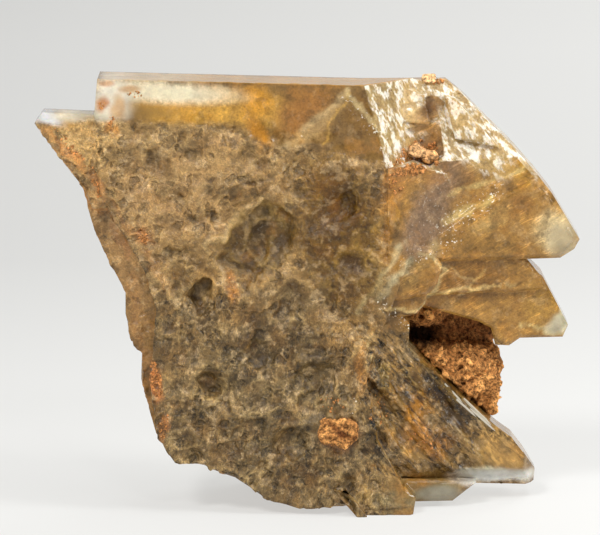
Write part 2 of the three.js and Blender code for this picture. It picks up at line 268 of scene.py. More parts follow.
# The thin overhanging edge above the biggest hollow
LIP = ((-9.4, 25.0), (-4.6, 29.3))

# Bowls, dents, pits and grains, in a face that is wavy to start with: widths and depths in mm
BOWL_WIDTH, DENT_WIDTH, PIT_WIDTH, GRAIN_WIDTH = 3.1, 1.6, 0.9, 0.5
BOWL_DEPTH, DENT_DEPTH, PIT_DEPTH, GRAIN_DEPTH = 0.42, 0.34, 0.26, 0.1
TROUGH_DEPTH, LIP_HEIGHT = 0.35, 0.3
warp = drift(place, 1.6, 101) + 0.6 * drift(place, 0.7, 104) + 0.3 * drift(place, 0.35, 107)
bent = place + 0.36 * warp + 1.1 * drift(place, 3.6, 114)
wavy_x, wavy_z = x + 0.45 * warp[:, 0], z + 0.45 * warp[:, 2]
bowl, bowl_lip = etch(bent * [1, 0.6, 0.8], BOWL_WIDTH, 11, 0.45)
dent, dent_lip = etch(bent, DENT_WIDTH, 17, 0.5)
pit, pit_lip = etch(bent, PIT_WIDTH, 23, 0.5)
grain, grain_lip = etch(place + 0.25 * warp, GRAIN_WIDTH, 29, 0.7)
hollow = np.zeros(count)
for spot, deep in HOLLOWS:
    hollow = np.maximum(hollow, deep * near_spot(wavy_x, wavy_z, spot, 0.3, 1.15))
hollow *= 1 + 0.3 * clouds(place, 0.9, 33)
biggest_hollow = near_spot(wavy_x, wavy_z, BIGGEST_HOLLOW, 0.62, 1.02)
hollow = np.maximum(hollow, BIGGEST_DEPTH * biggest_hollow)
troughs = ramp(0.05, 0.75, clouds(place * [1, 1, 0.55], 1.9, 35)) * ramp(24, 18, z)
olive = near_spot(wavy_x, wavy_z, (3.0, 26.5, 4.6, 8.5, 8), 0.45, 1.1) * (z < 34)
calm = (1 - 0.6 * np.clip(bowl + 1.2 * hollow, 0, 1)) * (1 - 0.7 * olive)
lip = near_line(wavy_x, wavy_z, LIP, 0.5)
relief = BOWL_DEPTH * bowl + calm * (DENT_DEPTH * dent + PIT_DEPTH * pit + GRAIN_DEPTH * grain) + hollow
relief += TROUGH_DEPTH * troughs + 0.3 * olive * clouds(place, 1.8, 9)
relief -= 0.07 * bowl_lip + 0.07 * dent_lip + 0.05 * pit_lip + LIP_HEIGHT * lip
relief += 0.2 * clouds(place, 2.8, 5) + 0.06 * clouds(place, 0.7, 6) + 0.03 * clouds(place, 0.33, 8)
depth = etched * relief + (1 - etched) * 0.012 * clouds(place, 1.1, 7)
# Sharp ridges that run down to the right on the lower point
FOLD_DEPTH, FINE_FOLD_DEPTH = 0.6, 0.2
across_folds = 0.82 * x + 0.57 * z
folds = np.abs(np.sin(across_folds * 1.25 + 0.9 * clouds(place, 3.4, 31)))
fine_folds = np.abs(np.sin(across_folds * 3.4 + 1.2 * clouds(place, 1.8, 32)))
depth += on_lower * (FOLD_DEPTH * folds + FINE_FOLD_DEPTH * fine_folds + 0.24 * dent + 0.14 * pit - 0.3)
moved = place - normal * depth[:, None]
box_low, box_high = np.array(cad_low) / MM, np.array(cad_high) / MM
mesh.vertices.foreach_set("co", (np.clip(moved, box_low, box_high) * MM).ravel())
mesh.update()

BROWN = "#86683f"
# Soft stains in the main tablet: X, Z, half width, half height, turn, colour and strength
MAIN_STAINS = [
    (-12, 31, 7, 6, 0, "#a3805a", 0.7),  # paler skin at the upper left
    (2.6, 27, 4.2, 6.5, 10, "#8e6c36", 0.7),  # olive part on the right
    (-3, 11, 8, 8, 0, "#77623f", 0.8),  # greyer lower part
    (-6.5, 13.5, 4, 3, 20, "#6a5436", 0.6),
    (7.2, 28.4, 1.1, 5.2, -10, "#b98334", 0.75),  # amber seam beside the upper point
    (4.4, 23.2, 1.3, 2.4, -30, "#b58339", 0.6),
    (-9.2, 22.4, 0.9, 2.6, 8, "#bd8f50", 0.7),
    (-8.8, 38.0, 10.5, 2.1, -3, "#dcab50", 0.95),  # yellow under the clear band
    (-4.9, 38.3, 1.9, 2.0, -20, "#cf952f", 0.9),
    (-4.6, 35.4, 1.0, 2.2, 30, "#c98a2c", 0.7),
    (-0.4, 37.6, 3.2, 2.6, 30, "#a06f38", 0.95),  # smooth brown panel
    (4.9, 37.2, 2.2, 3.0, 0, "#84622f", 0.9),
    (0.6, 36.6, 1.1, 4.8, -47, "#b2966e", 0.8),  # pale band down the panel's right side
    (5.6, 4.2, 5.0, 3.6, 0, "#bd9a6c", 0.85),
    (5.6, 2.4, 3.0, 1.4, 10, "#a88a4a", 0.6),
]
# The same for the two upper points and the lobes between them
POINT_BROWN = "#a88048"
POINT_STAINS = [
    (10.9, 27.6, 2.6, 4.8, -25, "#8f7460", 0.95),  # greyish matt part where it meets the main tablet
    (17.9, 32.6, 3.6, 1.4, -35, "#bf9238", 0.8),
    (22.8, 26.0, 2.4, 2.6, -40, "#cdbb9a", 0.85),
    (16.0, 25.2, 4.6, 1.6, 0, "#98743f", 0.7),
    (19.6, 28.4, 1.6, 1.1, 20, "#8a5f2e", 0.6),
    (14.2, 31.2, 1.9, 1.0, 28, "#7d5c40", 0.6),
    (16.6, 27.2, 2.4, 1.0, 28, "#cdae78", 0.6),
    (11.4, 24.6, 1.2, 1.0, 0, "#c9b58f", 0.6),
    (9.6, 37.4, 3.6, 2.4, 0, "#dcbd96", 0.75),
    (14.5, 35.8, 2.6, 2.0, -40, "#bf9f74", 0.7),
    (11.0, 37.2, 0.9, 1.5, -35, "#7d5c3e", 0.95),  # dark gap between the flakes
    (10.3, 33.9, 1.7, 1.6, 0, "#a5835f", 0.9),
    (9.4, 22.6, 2.6, 1.8, 0, "#94774a", 0.8),  # lobes
    (15.0, 21.6, 4.6, 2.0, 0, "#8d6430", 0.85),
    (21.5, 19.0, 2.6, 2.4, -50, "#b08a48", 0.7),
    (23.3, 17.2, 0.9, 1.4, -55, "#d8cda8", 0.9),
]
# The same for the lower point and the foot
LOWER_BROWN = "#927448"
LOWER_STAINS = [
    (6.6, 14.6, 2.2, 2.0, 0, "#9c7a4c", 0.75),
    (7.0, 12.0, 1.1, 2.6, -30, "#b98d42", 0.8),
    (9.9, 9.5, 1.4, 1.8, -20, "#c68620", 0.9),
    (9.6, 15.6, 1.6, 1.5, 0, "#b5a085", 0.75),
    (7.0, 13.2, 0.9, 1.5, -20, "#d8ba6c", 0.9),
    (7.6, 11.2, 0.4, 1.3, -20, "#3a2a14", 0.8),
    (4.9, 12.6, 0.5, 1.6, -30, "#c3ab80", 0.6),
    (12.0, 6.2, 1.8, 1.9, 0, "#9c6226", 0.8),
    (7.4, 5.6, 1.7, 0.7, 10, "#cbb694", 0.65),
    (12.9, 10.0, 1.7, 4.0, 35, "#2a1a08", 0.97),
    (11.6, 11.3, 1.2, 2.3, 30, "#38240c", 0.9),
    (9.3, 12.4, 0.5, 1.9, -32, "#4c3418", 0.8),
    (8.6, 8.2, 0.5, 1.6, 0, "#3c2c16", 0.8),
    (14.0, 7.8, 1.0, 3.4, 45, "#5d4526", 0.75),
    (17.7, 5.1, 3.3, 1.8, -30, "#d0a666", 0.92),
    (9.6, 6.6, 2.4, 1.8, 0, "#a97f42", 0.6),
    (7.4, 1.2, 3.2, 1.0, 0, "#81765c", 0.9),  # greyish plates of the foot
    (12.0, 1.4, 2.6, 1.0, 0, "#8f8a78", 0.9),
    (17.6, 2.7, 4.2, 0.75, -6, "#c9c5b2", 0.95),  # clear lower edge
]
# Cracks, seams and bright edges inside the crystals, with pale painted highlights along the lobes' rims
# and dark painted shadow lines under a rim and along the lower point's lower edge: two ends in X and Z,
# width, colour and strength
SEAMS_AND_PAINTED_RIMS = [
    (((3.6, 39.8), (-2.6, 34.2)), 0.5, "#cbb08a", 0.7),
    (((3.8, 39.6), (1.0, 35.0)), 0.25, "#d8ad62", 0.6),
    (((3.4, 39.8), (8.7, 32.8)), 0.4, "#d9c49c", 0.7),
    (((5.1, 25.0), (9.2, 29.4)), 0.35, "#c99a52", 0.5),
    (((5.0, 20.4), (9.3, 23.6)), 0.5, "#a99a7c", 0.6),
    (((-18.0, 29.4), (-14.2, 23.6)), 0.5, "#c98d57", 0.8),
    (((-14.2, 23.6), (-12.6, 20.5)), 0.4, "#c08a58", 0.6),
    (((13.0, 29.6), (20.6, 32.2)), 0.35, "#dcc590", 0.6),
    (((12.6, 27.2), (16.8, 29.2)), 0.45, "#e0c890", 0.7),
    (((10.9, 20.3), (19.2, 21.0)), 0.22, "#dcbf8a", 0.8),
    (((16.0, 22.4), (14.6, 20.8)), 0.2, "#dbb877", 0.5),
    # Painted shadow: the dark gap along the lower point's lower edge
    (((9.2, 4.6), (14.2, 3.2)), 0.3, "#47321a", 0.85),
    (((6.4, 15.4), (8.6, 15.2)), 0.2, "#d8b78c", 0.6),
    # Painted highlights along the lobes' rims
    (((10.0, 24.5), (12.0, 23.2)), 0.3, "#e2cfa4", 0.8),
    (((12.0, 23.2), (12.3, 22.0)), 0.3, "#e2cfa4", 0.8),
    (((12.3, 22.0), (10.9, 19.8)), 0.3, "#d9c294", 0.8),
    (((10.6, 19.4), (7.4, 19.2)), 0.3, "#d9c08e", 0.8),
    # Painted shadow under the lower lobe's rim
    (((10.4, 19.0), (7.6, 18.8)), 0.3, "#3f2c14", 0.8),
    (((11.4, 22.4), (9.6, 20.2)), 0.5, "#6f5630", 0.6),
    (((9.2, 24.0), (6.2, 20.4)), 0.6, "#cdc3aa", 0.75),
    (((8.6, 25.6), (4.4, 19.2)), 0.45, "#d2c8ae", 0.7),
    (((12.0, 22.8), (15.2, 21.8)), 0.3, "#cdb184", 0.5),
    (((13.4, 21.4), (19.6, 20.9)), 0.25, "#53391b", 0.5),
    (((19.6, 17.2), (23.3, 15.9)), 0.3, "#d8c595", 0.6),
    (((10.8, 13.4), (16.8, 7.4)), 0.3, "#b7a283", 0.6),
    (((5.4, 15.9), (7.6, 12.4)), 0.16, "#e6d3a2", 0.8),
    (((7.7, 13.8), (9.8, 9.6)), 0.2, "#33240f", 0.8),
    (((8.6, 13.6), (10.9, 9.8)), 0.15, "#d9bd8c", 0.6),
    (((10.6, 9.6), (13.2, 5.4)), 0.2, "#37270f", 0.7),
    (((8.1, 7.6), (8.4, 5.0)), 0.18, "#2f2110", 0.8),
    (((13.6, 7.6), (16.4, 4.4)), 0.14, "#d8bd90", 0.6),
    (((11.8, 5.8), (15.6, 3.4)), 0.16, "#4c3719", 0.6),
]
# Where light goes through: the spot and how much of it passes
CLEAR_BANDS = [
    ((-12.9, 39.4, 6.9, 0.9, -3), 0.28),
    ((-17.4, 38.8, 2.4, 2.2, 0), 0.36),
    ((-17.5, 37.6, 6.8, 0.9, 0), 0.3),
    ((-23.6, 36.7, 1.9, 1.3, -30), 0.5),
    ((-20.0, 37.0, 3.6, 0.6, 0), 0.4),
    ((23.6, 25.4, 1.6, 2.0, -40), 0.45),
    ((23.2, 17.1, 1.0, 1.5, -50), 0.6),
    ((17.8, 2.6, 4.4, 0.9, -5), 0.45),
    ((17.8, 4.2, 3.6, 2.0, -30), 0.2),
    ((12.2, 1.3, 2.4, 1.1, 0), 0.5),
]

tint = np.tile(linear(BROWN), (count, 1))


def stain(where, colour, strength):
    """Turns the tint to a hex colour: wholly where is 1 if strength is 1, less with less of either."""
    amount = np.clip(where * strength, 0, 1)[:, None]
    tint[:] = tint * (1 - amount) + linear(colour) * amount


def paint(mesh):
    """Keeps the tint on a mesh's points."""
    layer = mesh.attributes.new("tint", "FLOAT_COLOR", "POINT")
    colours = np.hstack([tint, np.ones((len(tint), 1))])
    layer.data.foreach_set("color", colours.astype(np.float32).ravel())


right_side = ramp(7.6, 9.0, x + 0.3 * wander) * ramp(15.0, 17.0, z + 0.35 * np.maximum(x - 12, 0))
low_side = ramp(4.4, 5.6, x) * ramp(5.6, 6.4, x + 0.18 * z)
low_side *= ramp(16.8, 15.8, z - 0.1 * x + 0.5 * np.maximum(x - 13, 0))
main_side = (1 - right_side) * (1 - low_side)
stain(right_side, POINT_BROWN, 1)
stain(low_side, LOWER_BROWN, 1)
for side, stains in ((main_side, MAIN_STAINS), (right_side, POINT_STAINS), (low_side, LOWER_STAINS)):
    for *spot, colour, strength in stains:
        stain(near_spot(wavy_x, wavy_z, spot) * side, colour, strength)
# The side plate, the wing and the orange films on their edges
stain(on_side * (x < -14.2), "#c09a70", 0.6)
stain(near_spot(wavy_x, wavy_z, (-20.0, 34.8, 4.8, 2.9, -20)) * (x < -17), "#e8c087", 0.9)
stain(near_line(wavy_x, wavy_z, ((-24.2, 35.6), (-19.2, 28.6)), 0.9), "#d9a066", 0.85)
stain(near_line(wavy_x, wavy_z, ((-16.2, 21.5), (-15.0, 10.0)), 0.8), "#a97c50", 0.5)
for line, width, colour, strength in SEAMS_AND_PAINTED_RIMS:
    stain(near_line(wavy_x, wavy_z, line, width), colour, strength)
# The etched skin: painted shade darkens its troughs, bowls, floors and pits, it is darker low down, and
# painted highlights make its lips paler
broken = np.clip(crust + 0.5 * on_lower, 0, 1)
floors = np.clip(0.7 * bowl + 0.6 * dent + 1.6 * hollow + 0.4 * pit, 0, 0.8)
skin = np.clip(etched * (1 - 0.6 * olive) * (1 - floors) + 0.3 * on_lower, 0, 1)
upper = ramp(17, 25, z)
stain(crust * upper * (1 - olive), "#b1936c", 0.35)
stain(ramp(0.0, 0.7, clouds(place, 3.4, 58)) * broken, "#4d3a22", 0.5 - 0.2 * upper)
stain(ramp(0.2, 0.8, clouds(place * [1, 1, 0.7], 1.5, 59)) * broken, "#453219", 0.5 - 0.15 * upper)
foot_corner = near_spot(x, z, (7.0, 2.8, 3.4, 3.0, 0))
low_part = ramp(22, 14, z + 0.25 * x + 0.9 * np.maximum(x, 0)) * (1 - 0.5 * foot_corner)
stain(low_part * crust, "#483d2c", 0.66)
# Painted shade darkens the grooves between the lower point's ridges, and painted highlights make the
# crests of the fine folds paler
stain(ramp(0.45, 0.95, folds) * on_lower, "#3c2810", 0.36)
stain(ramp(0.25, 0.05, fine_folds) * on_lower, "#c4a272", 0.2)
stain(olive * crust, "#573c14", 0.85)
stain(olive * crust * ramp(0.1, 0.7, clouds(place, 1.8, 9)), "#3f2d12", 0.5)
# Painted shade: the troughs, bowls, dents, pits, grains and hollows are darkened in colour
stain(troughs * broken, "#352613", 0.7)
stain(bowl * broken * (1 - olive), "#4f3c20", 0.62)
stain((0.8 * dent + pit) * broken, "#48351b", 0.55)
stain(grain * broken, "#4d391f", 0.25)
stain(ramp(0.08, 0.5, hollow) * broken * (1 - biggest_hollow), "#3d2b14", 0.75)
stain(biggest_hollow * broken, "#43321b", 0.8)
# Painted highlights: the lips of the bowls, dents, pits and grains and the lip over the biggest hollow
# are paler
stain((bowl_lip + dent_lip + 0.8 * pit_lip + 0.4 * grain_lip) * broken, "#cbb086", 0.24)
stain(lip * broken, "#d2b68c", 0.6)
stain(behind * back, "#957345", 0.35)
stain(ramp(0.1, 0.8, clouds(place, 6.0, 63)) * behind * back, "#5a4326", 0.55)
stain(ramp(0.2, 0.9, clouds(place, 4.0, 64)) * behind * back, "#c79a5c", 0.5)
stain(ramp(0.45, 0.9, clouds(place, 2.4, 65)) * behind * back, "#b77a42", 0.5)
# The slanted facets of the upper point, and the two flakes beside its gap, stained lighter as a painted
# highlight
facet = ramp(0.3, 0.42, normal[:, 2]) * right_side + ramp(0.5, 0.7, normal[:, 0]) * (z > 30)
facet = np.clip(facet, 0, 1) * ramp(30.5, 32, z)
facet = np.maximum(facet, 0.8 * near_spot(x, z, (15.2, 34.4, 4.8, 2.2, -42), 0.6, 1.1) * front)
facet = np.maximum(facet, 0.8 * near_spot(x, z, (9.0, 36.6, 2.4, 3.0, -10), 0.6, 1.1) * front)
facet *= 1 - near_spot(x, z, (10.6, 36.6, 1.1, 1.9, -30), 0.7, 1.1)
stain(facet, "#d0ba92", 0.7)
# The faces on top are stained light yellow: partly the mineral's own yellow, partly painted light where
# they face up
on_top = ramp(0.6, 0.9, normal[:, 2]) * ramp(39, 39.6, z)
stain(on_top, "#e2b068", 0.85)
stain(near_line(wavy_x, wavy_z, ((9.8, 25.4), (13.4, 33.4)), 2.1) * right_side * (1 - facet),
      "#8a7060", 0.8)
# Orange clay films: as the stains above
for *spot, colour, strength in (
    (-15.0, 26.2, 0.9, 1.3, 30, "#b97a4c", 0.6), (-14.2, 12.6, 0.8, 2.3, 8, "#c47a44", 0.75),
    (-13.4, 8.0, 0.6, 1.8, -10, "#b97a4a", 0.6), (-21.8, 33.9, 0.5, 3.2, 42, "#cf9058", 0.75),
    (-19.3, 31.0, 0.5, 2.2, 15, "#c58a58", 0.6), (-17.9, 36.4, 0.7, 1.1, 0, "#cf9048", 0.7),
    (-17.2, 25.6, 0.5, 3.4, 24, "#b98662", 0.5), (9.4, 32.6, 2.6, 1.8, 20, "#b27c4c", 0.6),
    (7.9, 31.0, 1.2, 2.2, -8, "#ba8142", 0.55), (7.2, 27.4, 0.7, 3.2, -8, "#ba843c", 0.6),
    (3.0, 7.6, 2.4, 1.7, 30, "#8c5a33", 0.6), (-7.2, 21.4, 0.5, 2.0, 14, "#b67a38", 0.6),
    (10.8, 17.8, 2.0, 1.8, 0, "#7c4a22", 0.8), (10.2, 7.0, 1.8, 1.6, -20, "#a86f35", 0.6),
    (4.9, 13.9, 0.7, 2.4, 0, "#b37b3a", 0.6), (2.6, 29.0, 0.6, 0.8, 0, "#b07a3c", 0.4),
):
    stain(near_spot(wavy_x, wavy_z, spot) * front, colour, strength)
# The mineral's own yellow, over every stain but the clear places, deepest where it is thick
tint *= np.array((0.84, 0.79, 0.6))
thick = np.clip(olive * crust + 0.7 * biggest_hollow * crust
                + near_spot(wavy_x, wavy_z, (12.2, 11.0, 2.4, 4.2, 35)) * low_side, 0, 1)
tint *= 1 - thick[:, None] * np.array((0.12, 0.24, 0.7))
# Pale where it is clear, with a few orange specks on that
for *spot, colour, strength in (
    (-13.0, 39.4, 7.8, 1.25, -3, "#fbeecb", 0.95), (-17.9, 38.6, 2.5, 2.7, 0, "#fff6e0", 0.95),
    (-24.0, 36.5, 2.2, 1.5, -30, "#ffffff", 0.98), (-20.6, 37.1, 3.6, 0.7, 0, "#f2e6c8", 0.8),
    (23.4, 25.4, 1.9, 2.2, -40, "#dcc89e", 0.7), (23.2, 17.2, 1.1, 1.6, -50, "#efe4c0", 0.9),
    (17.8, 2.4, 4.8, 0.95, -5, "#f6f4ea", 0.95), (12.4, 1.3, 2.4, 0.9, 0, "#b8b09a", 0.7),
    (-18.9, 38.3, 0.7, 0.9, 0, "#cf8034", 0.85), (-17.3, 37.9, 1.0, 1.7, 0, "#d9a052", 0.7),
    (-16.2, 39.7, 1.3, 0.45, 0, "#cf9450", 0.7), (-18.2, 40.2, 0.9, 0.35, 0, "#c9823c", 0.6),
):
    stain(near_spot(wavy_x, z, spot) * (1 - crust), colour, strength)
tint *= (1 + 0.16 * clouds(place, 1.3, 61) + 0.12 * clouds(place, 0.5, 62))[:, None]

clear = np.zeros(count)
for spot, strength in CLEAR_BANDS:
    clear = np.maximum(clear, near_spot(x, z, spot) * strength)
clear *= 1 - crust
clear = np.maximum(clear, 0.25 * on_top)
polish = np.clip(1 - etched - 0.5 * on_lower, 0, 1)
matt = near_spot(wavy_x, wavy_z, (10.9, 27.6, 2.4, 4.6, -25)) * right_side
polish *= 1 - matt
# Where painted glints lie in the colour: most in the streaks on the upper point
painted_glints = 0.2 * matt + 0.15 * facet + 0.1 * on_lower + 0.04 * crust + 0.02 * front
for line, width in (((12.6, 26.6), (17.2, 29.6)), 1.3), (((9.0, 23.8), (14.0, 25.2)), 0.9), \
        (((3.4, 39.0), (8.6, 33.0)), 0.8), (((6.8, 20.0), (9.6, 16.0)), 0.9), \
        (((4.6, 11.0), (3.0, 8.6)), 0.8):
    painted_glints = np.maximum(painted_glints, near_line(wavy_x, wavy_z, line, width) * front)

# Pale fibres stand upright in the lower part of the etched face, and thin growth lines slant up to
# the right on the upper points and down to the right on the lower one
fibres = crust * ramp(23, 17, z + 0.2 * x)
rising = polish * right_side * (1 - facet)
falling = np.maximum(on_lower, low_side * front * ramp(2.6, 4.0, z))
FINISHES = {"clear": clear, "polish": polish, "facet": facet, "skin": skin, "painted_glints": painted_glints,
            "fibres": fibres, "rising": rising, "falling": falling}
for name, values in FINISHES.items():
    layer = mesh.attributes.new(name, "FLOAT", "POINT")
    layer.data.foreach_set("value", values.astype(np.float32))
paint(mesh)


def smooth_shade(piece, degrees):
    """Shades a piece smooth, apart from edges sharper than degrees."""
    bpy.ops.object.select_all(action="DESELECT")
    piece.select_set(True)
    bpy.context.view_layer.objects.active = piece
    bpy.ops.object.shade_smooth_by_angle(angle=math.radians(degrees))


def add(material, kind, sockets=(), **settings):
    """Adds a shader node and gives its outputs. sockets, a list in the node's own order or a
    dictionary by name or number, says what its inputs hold: another node's output or a value.
    settings are the node's own, or else inputs by name."""
    made = material.node_tree.nodes.new("ShaderNode" + kind)
    held = dict(sockets) if isinstance(sockets, dict) else dict(enumerate(sockets))
    for name, value in settings.items():
        if hasattr(made, name):
            setattr(made, name, value)
        else:
            held[name.replace("_", " ")] = value
    for socket, source in held.items():
        if isinstance(source, bpy.types.NodeSocket):
            material.node_tree.links.new(source, made.inputs[socket])
        else:
            made.inputs[socket].default_value = source
    return made.outputs


def mottle(material, size, seed, detail=3.0):
    """Mottling whose lumps are about size mm, in the piece's own coordinates."""
    where = add(material, "TexCoord")["Object"]
    return add(material, "TexNoise", [where], noise_dimensions="4D", W=float(seed),
               Scale=1000 / size, Detail=detail, Roughness=0.6)[0]


def streaked(material, long, thin, up, seed, detail=3.0):
    """Mottling drawn out along a line that goes up to the right at up degrees: sizes in mm."""
    where = add(material, "TexCoord")["Object"]
    turned = add(material, "Mapping", [where], vector_type="TEXTURE",
                 Rotation=(0, math.radians(-up), 0), Scale=(long * MM, 0.5 * long * MM, thin * MM))
    return add(material, "TexNoise", [turned[0]], noise_dimensions="4D", W=float(seed), Scale=1.0,
               Detail=detail, Distortion=0.4)[0]


SOFT = {"interpolation_type": "SMOOTHSTEP"}  # for a mask that fades at both ends of its range


def threads(material, value, width):
    """Thin crooked lines: 1 where a mottling crosses its middle, 0 where it is width off."""
    off = add(material, "Math", [value, 0.5], operation="SUBTRACT")[0]
    off = add(material, "Math", [off], operation="ABSOLUTE")[0]
    return add(material, "MapRange", [off, width, 0, 0, 1], **SOFT)[0]


# Gorgeyite, as grown and as etched: brownish yellow, see-through in thin ends, with a waxy etched
# skin. The index is about 1.57. The finest mottling is 0.13 to 0.75 mm, the size of the etch grains.
GORGEYITE_INDEX = 1.57
# The colour of the painted glints
PAINTED_GLINT = (0.86, 0.8, 0.66, 1)
BUMP_HEIGHT = 0.12 * MM
PIT_BEND = 1.3 * MM
gorgeyite = bpy.data.materials.new("gorgeyite_etched_and_glassy")
gorgeyite.use_nodes = True
tint_part = add(gorgeyite, "Attribute", attribute_name="tint")["Color"]
clear_part, polish_part, facet_part, skin_part, painted_glints_part, fibres_part, rising_part, falling_part = (
    add(gorgeyite, "Attribute", attribute_name=name)["Fac"] for name in FINISHES)
grain_noise = mottle(gorgeyite, 0.24, 1, 5.0)
fleck_noise = mottle(gorgeyite, 0.75, 2, 4.0)
both = add(gorgeyite, "Math", [grain_noise, fleck_noise], operation="ADD")[0]
# The etched skin is a crowd of small rounded pits, each about 1 mm, with thin rims painted pale as a
# painted highlight and floors painted darker as painted shade
where = add(gorgeyite, "TexCoord")["Object"]
bend = add(gorgeyite, "TexNoise", [where], Scale=900.0, Detail=4.0)["Color"]
bent_place = add(gorgeyite, "VectorMath", [bend, (PIT_BEND, PIT_BEND, PIT_BEND), where],
                 operation="MULTIPLY_ADD")[0]
to_rim = add(gorgeyite, "TexVoronoi", [bent_place], feature="DISTANCE_TO_EDGE", Scale=1000.0)["Distance"]
pit_number = add(gorgeyite, "TexVoronoi", [bent_place], Scale=1000.0)["Color"]
pit_number = add(gorgeyite, "SeparateColor", [pit_number])[0]
is_pit = add(gorgeyite, "MapRange", [pit_number, 0.45, 0.7, 0, 1], **SOFT)[0]
pit_floor = add(gorgeyite, "MapRange", [to_rim, 0.04, 0.26, 0, 1], **SOFT)[0]
pit_floor = add(gorgeyite, "Math", [pit_floor, is_pit], operation="MULTIPLY")[0]
pit_rim_highlight = add(gorgeyite, "MapRange", [to_rim, 0.1, 0.02, 0, 1], **SOFT)[0]
some_flecks = add(gorgeyite, "MapRange", [fleck_noise, 0.42, 0.58, 0, 1], **SOFT)[0]
pit_rim_highlight = add(gorgeyite, "Math", [pit_rim_highlight, some_flecks], operation="MULTIPLY")[0]
# Growth lines and pale threads along them, which the flecks break up
rising_lines = streaked(gorgeyite, 3.2, 0.24, 28, 13)
falling_lines = streaked(gorgeyite, 2.4, 0.26, -48, 14)
rising_threads, falling_threads = (
    add(gorgeyite, "Math", [threads(gorgeyite, streaked(gorgeyite, *drawn_out), width),
                            add(gorgeyite, "MapRange", [fleck_noise, low, high, 0, 1], **SOFT)[0]],
        operation="MULTIPLY")[0]
    for drawn_out, width, low, high in (((4.5, 0.6, 28, 17, 3.0), 0.032, 0.45, 0.6),
                                        ((2.8, 0.9, -50, 18, 4.0), 0.045, 0.42, 0.56)))
# How light each place is: mottled everywhere, a little less so in the etched skin
spread = add(gorgeyite, "MapRange", [skin_part, 0, 1, 1.1, 1.0])[0]
finest = add(gorgeyite, "MapRange", [mottle(gorgeyite, 0.13, 8, 2.0), 0.3, 0.7, 0.8, 1.2])[0]
shade = add(gorgeyite, "Math", [both, 1], operation="SUBTRACT")[0]
shade = add(gorgeyite, "Math", [shade, spread, finest], operation="MULTIPLY_ADD")[0]
# What is lighter or darker: a pattern, its range, what the ends of the range add, and its finish
for pattern, low, high, at_low, at_high, finish in (
    (threads(gorgeyite, mottle(gorgeyite, 0.55, 3), 0.03), 0, 1, 0, 0.6, skin_part),
    # Painted highlight on the pits' rims and painted shade in their floors
    (pit_rim_highlight, 0, 1, 0, 0.34, skin_part),
    (pit_floor, 0, 1, 0.06, -0.38, skin_part),
    (threads(gorgeyite, streaked(gorgeyite, 1.0, 0.36, 74, 11, 4.0), 0.035), 0, 1, 0, 0.7, fibres_part),
    (streaked(gorgeyite, 2.6, 0.9, 80, 12), 0.36, 0.64, -0.35, 0.3, fibres_part),
    (rising_lines, 0.35, 0.65, -0.09, 0.1, rising_part),
    (rising_threads, 0, 1, 0, 0.7, rising_part),
    (falling_lines, 0.35, 0.65, -0.16, 0.2, falling_part),
    (falling_threads, 0, 1, 0, 0.9, falling_part),
    (threads(gorgeyite, streaked(gorgeyite, 3.4, 1.1, -44, 19, 4.0), 0.07), 0, 1, 0, -0.6, falling_part),
):
    amount = add(gorgeyite, "MapRange", [pattern, low, high, at_low, at_high])[0]
    shade = add(gorgeyite, "Math", [amount, finish, shade], operation="MULTIPLY_ADD")[0]
# The clear parts are even
calm = add(gorgeyite, "MapRange", [clear_part, 0, 0.3, 1, 0.25])[0]
even = add(gorgeyite, "Math", [1, calm], operation="SUBTRACT")[0]
shade = add(gorgeyite, "Math", [shade, calm, even], operation="MULTIPLY_ADD")[0]
# Amber, brown and milky patches of 1.1 to 2.4 mm lie in the crystals all over. Each one: its size
# and seed, the noise's range, colour and strength, and what share shows on bare and on etched crystal
tinted = tint_part
for size, seed, low, high, patch, strength, etched_from, on_bare, on_etched in (
    (2.4, 4, 0.5, 0.62, "#b0762a", 0.28, 0.6, 1, 0.3),
    (1.5, 5, 0.52, 0.66, "#4e3616", 0.5, 1, 1, 1),
    (1.1, 6, 0.52, 0.66, "#d2b384", 0.36, 0.7, 0.45, 1),
):
    mask = add(gorgeyite, "MapRange", [mottle(gorgeyite, size, seed), low, high, 0, strength], **SOFT)[0]
    share = add(gorgeyite, "MapRange", [skin_part, 0, etched_from, on_bare, on_etched])[0]
    mask = add(gorgeyite, "Math", [mask, share], operation="MULTIPLY")[0]
    tinted = add(gorgeyite, "Mix", {0: mask, 6: tinted, 7: (*linear(patch), 1)}, data_type="RGBA")[2]
plain = add(gorgeyite, "MapRange", [clear_part, 0, 0.4, 0, 1])[0]
plain = add(gorgeyite, "Math", [facet_part, plain], operation="ADD")[0]
tinted = add(gorgeyite, "Mix", {0: plain, 6: tinted, 7: tint_part}, data_type="RGBA")[2]
# Painted reflection: the slanted facets' colour is painted in irregular patches, white to brown, as if
# they mirrored the light
patches = add(gorgeyite, "MapRange",
              [streaked(gorgeyite, 1.3, 0.7, -60, 15, 4.0), 0.38, 0.62, 0, 0.62])[0]
ripples = add(gorgeyite, "MapRange", [streaked(gorgeyite, 0.5, 0.2, -60, 16), 0.3, 0.7, 0, 0.38])[0]
painted_sheen = add(gorgeyite, "Math", [patches, ripples], operation="ADD")[0]
for full, strength, patch in ((0.76, 0.8, "#fff8ea"), (0.16, 0.55, "#8d6f48")):
    mask = add(gorgeyite, "MapRange", [painted_sheen, 0.42, full, 0, strength], **SOFT)[0]
    mask = add(gorgeyite, "Math", [mask, facet_part], operation="MULTIPLY")[0]
    tinted = add(gorgeyite, "Mix", {0: mask, 6: tinted, 7: (*linear(patch), 1)}, data_type="RGBA")[2]
# Painted glints: irregular flecks of about 0.1 mm whose colour is painted nearly white
colour = add(gorgeyite, "VectorMath", {0: tinted, "Scale": shade}, operation="SCALE")[0]
mask = add(gorgeyite, "MapRange", [mottle(gorgeyite, 0.26, 7, 2.0), 0.6, 0.66, 0, 1], **SOFT)[0]
mask = add(gorgeyite, "Math", [mask, painted_glints_part], operation="MULTIPLY")[0]
colour = add(gorgeyite, "Mix", {0: mask, 6: colour, 7: PAINTED_GLINT}, data_type="RGBA")[2]
